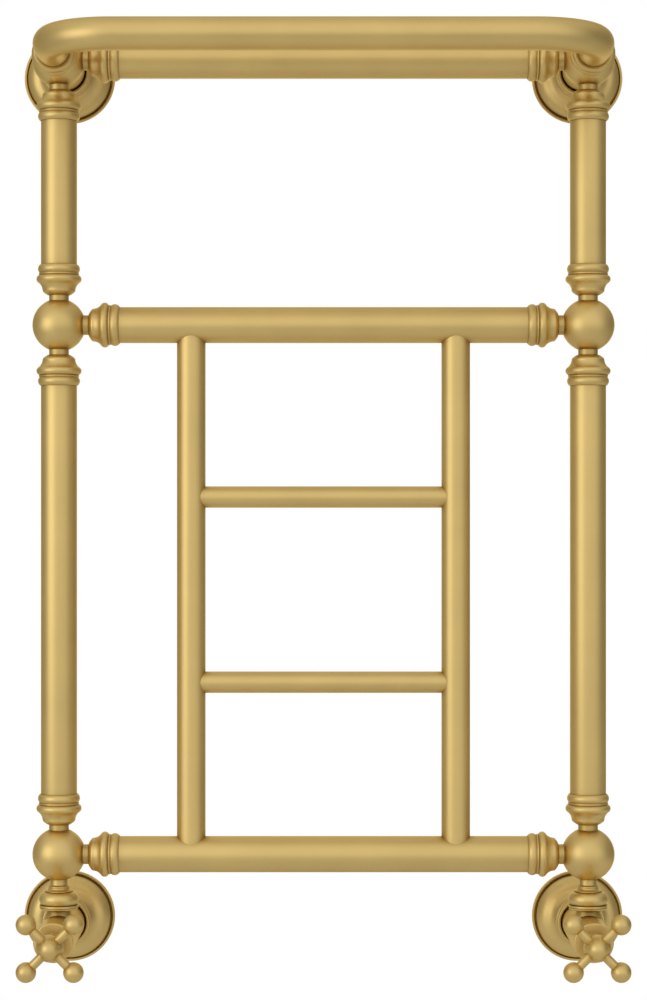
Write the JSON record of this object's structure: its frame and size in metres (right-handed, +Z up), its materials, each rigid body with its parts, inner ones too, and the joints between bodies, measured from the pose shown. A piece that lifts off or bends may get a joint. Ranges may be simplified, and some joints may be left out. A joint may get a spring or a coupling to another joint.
{
  "type": "water-heated towel rail",
  "caption": "Wall-hung towel rail heated by hot water: ball-jointed tubes with turned collars, a ladder, a shelf rail in front and cross-handle valves.",
  "frame": {"origin": "on the wall plane, midway between the two top wall plates, at the height of the top bar", "axes": "+X to the right seen from the front, +Y into the wall, +Z up; the rail stands in front of the wall at negative Y"},
  "size_m": [0.589, 0.302, 0.914],
  "materials": {
    "satin_gold": "satin, brushed fine",
    "plain_brass": "machined",
    "rubber": "matt",
    "steel": "blackened"
  },
  "bodies": {
    "rail": {"bleed_valve_body": "satin_gold", "bottom_crossbar": "satin_gold", "bottom_left_ball": "satin_gold", "bottom_left_rosette": "satin_gold", "bottom_right_ball": "satin_gold", "bottom_right_rosette": "satin_gold", "column_collars": "satin_gold", "crossbar_collars": "satin_gold", "gland_packings": "rubber", "left_gland_nut": "satin_gold", "left_headwork": "satin_gold", "left_inlet_shroud": "satin_gold", "left_ladder_upright": "satin_gold", "left_stay_sleeve": "satin_gold", "left_union_nut": "satin_gold", "left_union_tail": "satin_gold", "left_valve_body": "satin_gold", "left_wall_nipple": "plain_brass", "left_wall_plate": "plain_brass", "lower_left_column": "satin_gold", "lower_right_column": "satin_gold", "lower_rung": "satin_gold", "middle_crossbar": "satin_gold", "middle_left_ball": "satin_gold", "middle_right_ball": "satin_gold", "right_gland_nut": "satin_gold", "right_headwork": "satin_gold", "right_inlet_shroud": "satin_gold", "right_ladder_upright": "satin_gold", "right_stay_sleeve": "satin_gold", "right_union_nut": "satin_gold", "right_union_tail": "satin_gold", "right_valve_body": "satin_gold", "right_wall_nipple": "plain_brass", "right_wall_plate": "plain_brass", "rosette_grip_rings": "rubber", "shelf_collars": "satin_gold", "shelf_rail": "satin_gold", "stay_grub_screws": "steel", "top_crossbar": "satin_gold", "top_left_ball": "satin_gold", "top_left_rosette": "satin_gold", "top_right_ball": "satin_gold", "top_right_rosette": "satin_gold", "union_seals": "rubber", "upper_left_column": "satin_gold", "upper_right_column": "satin_gold", "upper_rung": "satin_gold"},
    "left_jumper_carrier": {"left_jumper": "plain_brass", "left_jumper_washer": "rubber"},
    "left_handle": {"left_cross_handle": "satin_gold", "left_handle_cap": "satin_gold", "left_spindle": "plain_brass"},
    "right_jumper_carrier": {"right_jumper": "plain_brass", "right_jumper_washer": "rubber"},
    "right_handle": {"right_cross_handle": "satin_gold", "right_handle_cap": "satin_gold", "right_spindle": "plain_brass"},
    "bleed_key_screw": {"bleed_screw": "plain_brass"}
  },
  "joints": [
    {"name": "left_valve_lift", "type": "slide", "parent": "rail", "child": "left_jumper_carrier", "axis": [0, -1, 0], "range_m": [0, 0.00501]},
    {"name": "left_valve_turn", "type": "hinge", "parent": "left_jumper_carrier", "child": "left_handle", "pos_m": [-0.25, -0.112, -0.825], "axis": [0, -1, 0], "range_deg": [0, 900]},
    {"name": "right_valve_lift", "type": "slide", "parent": "rail", "child": "right_jumper_carrier", "axis": [0, -1, 0], "range_m": [0, 0.00501]},
    {"name": "right_valve_turn", "type": "hinge", "parent": "right_jumper_carrier", "child": "right_handle", "pos_m": [0.25, -0.112, -0.825], "axis": [0, -1, 0], "range_deg": [0, 900]},
    {"name": "bleed_turn", "type": "hinge", "parent": "rail", "child": "bleed_key_screw", "pos_m": [0.17, -0.083, 0], "axis": [0, 1, 0], "range_deg": [0, 360]}
  ],
  "couplings": [
    {"joint": "left_valve_lift", "follows": "left_valve_turn", "m_per_rad": 0.00031831},
    {"joint": "right_valve_lift", "follows": "right_valve_turn", "m_per_rad": 0.00031831}
  ]
}
